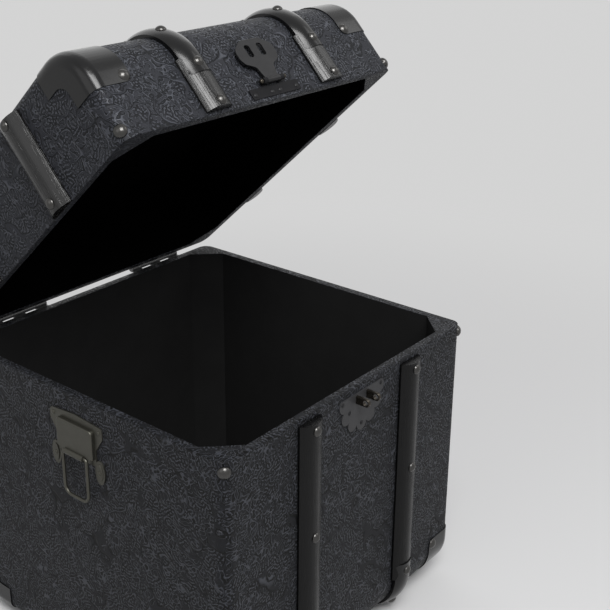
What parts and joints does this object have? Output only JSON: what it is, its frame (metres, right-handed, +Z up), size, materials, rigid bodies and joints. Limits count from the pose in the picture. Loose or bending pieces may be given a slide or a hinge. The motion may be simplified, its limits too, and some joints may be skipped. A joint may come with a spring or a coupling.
{
  "type": "travel trunk",
  "caption": "Square travel trunk with a deep hinged lid, half-round slats, black metal caps, a slotted hasp over twin padlock lugs and a drop handle on each end.",
  "frame": {"origin": "centre of the trunk's footprint on the floor, under the two skids", "axes": "+Z up, +X to the right seen from the front, +Y to the back"},
  "size_m": [0.4284, 0.4859, 0.6892],
  "materials": {
    "board": "unfinished softwood board",
    "leatherette": "charcoal embossed leatherette, swirling filigree",
    "lining": "matte black lining",
    "slat": "satin black painted slat, open grain",
    "cap": "gloss black lacquer",
    "nail": "dark polished dome",
    "plate": "dark grey satin",
    "bronze": "dark antique bronze",
    "pewter": "antique pewter, embossed",
    "steel": "dull steel"
  },
  "bodies": {
    "trunk_body": {"body_front_panel": "board", "body_back_panel": "board", "body_left_end": "board", "body_right_end": "board", "body_floor": "board", "body_front_bend": "board", "body_back_bend": "board", "body_corner_posts": "board", "body_covering": "leatherette", "body_lining": "lining", "front_slat_left": "slat", "front_slat_right": "slat", "skid_left": "slat", "skid_right": "slat", "body_slat_caps_front": "cap", "body_slat_caps_back": "cap", "body_corner_caps": "cap", "body_dome_nails": "nail", "lock_plate": "plate", "lock_plate_nails": "plate", "lock_lugs": "bronze", "handle_plate_left": "pewter", "handle_plate_right": "pewter", "handle_rivets": "pewter", "hinge_body_leaves": "steel", "hinge_screws_body": "steel", "hinge_pins": "steel"},
    "lid": {"lid_front_panel": "board", "lid_back_panel": "board", "lid_left_end": "board", "lid_right_end": "board", "lid_top_panel": "board", "lid_front_bend": "board", "lid_back_bend": "board", "lid_corner_posts": "board", "lid_covering": "leatherette", "lid_lining": "lining", "lid_front_slat_left": "slat", "lid_front_slat_right": "slat", "lid_top_slat_left": "slat", "lid_top_slat_right": "slat", "lid_side_slats": "slat", "lid_slat_caps_front": "cap", "lid_slat_caps_back": "cap", "lid_corner_caps": "cap", "lid_dome_nails": "nail", "hinge_lid_leaves": "steel", "hinge_screws_lid": "steel", "hasp_base_plate": "plate", "hasp_base_nails": "plate", "hasp_pin": "bronze"},
    "hasp": {"hasp": "plate"},
    "bail_left": {"handle_bail_left": "pewter"},
    "bail_right": {"handle_bail_right": "pewter"}
  },
  "joints": [
    {"name": "lid_hinge", "type": "hinge", "parent": "trunk_body", "child": "lid", "pos_m": [0, 0.207, 0.34], "axis": [-1, 0, 0], "range_deg": [-42.9, 57]},
    {"name": "hasp_hinge", "type": "hinge", "parent": "lid", "child": "hasp", "pos_m": [0.006, -0.08269, 0.6335], "axis": [1, 0, 0], "range_deg": [0, 180]},
    {"name": "bail_left_hinge", "type": "hinge", "parent": "trunk_body", "child": "bail_left", "pos_m": [-0.2054, 0, 0.2754], "axis": [0, 1, 0], "range_deg": [0, 110]},
    {"name": "bail_right_hinge", "type": "hinge", "parent": "trunk_body", "child": "bail_right", "pos_m": [0.2054, 0, 0.2754], "axis": [0, -1, 0], "range_deg": [0, 110]}
  ]
}
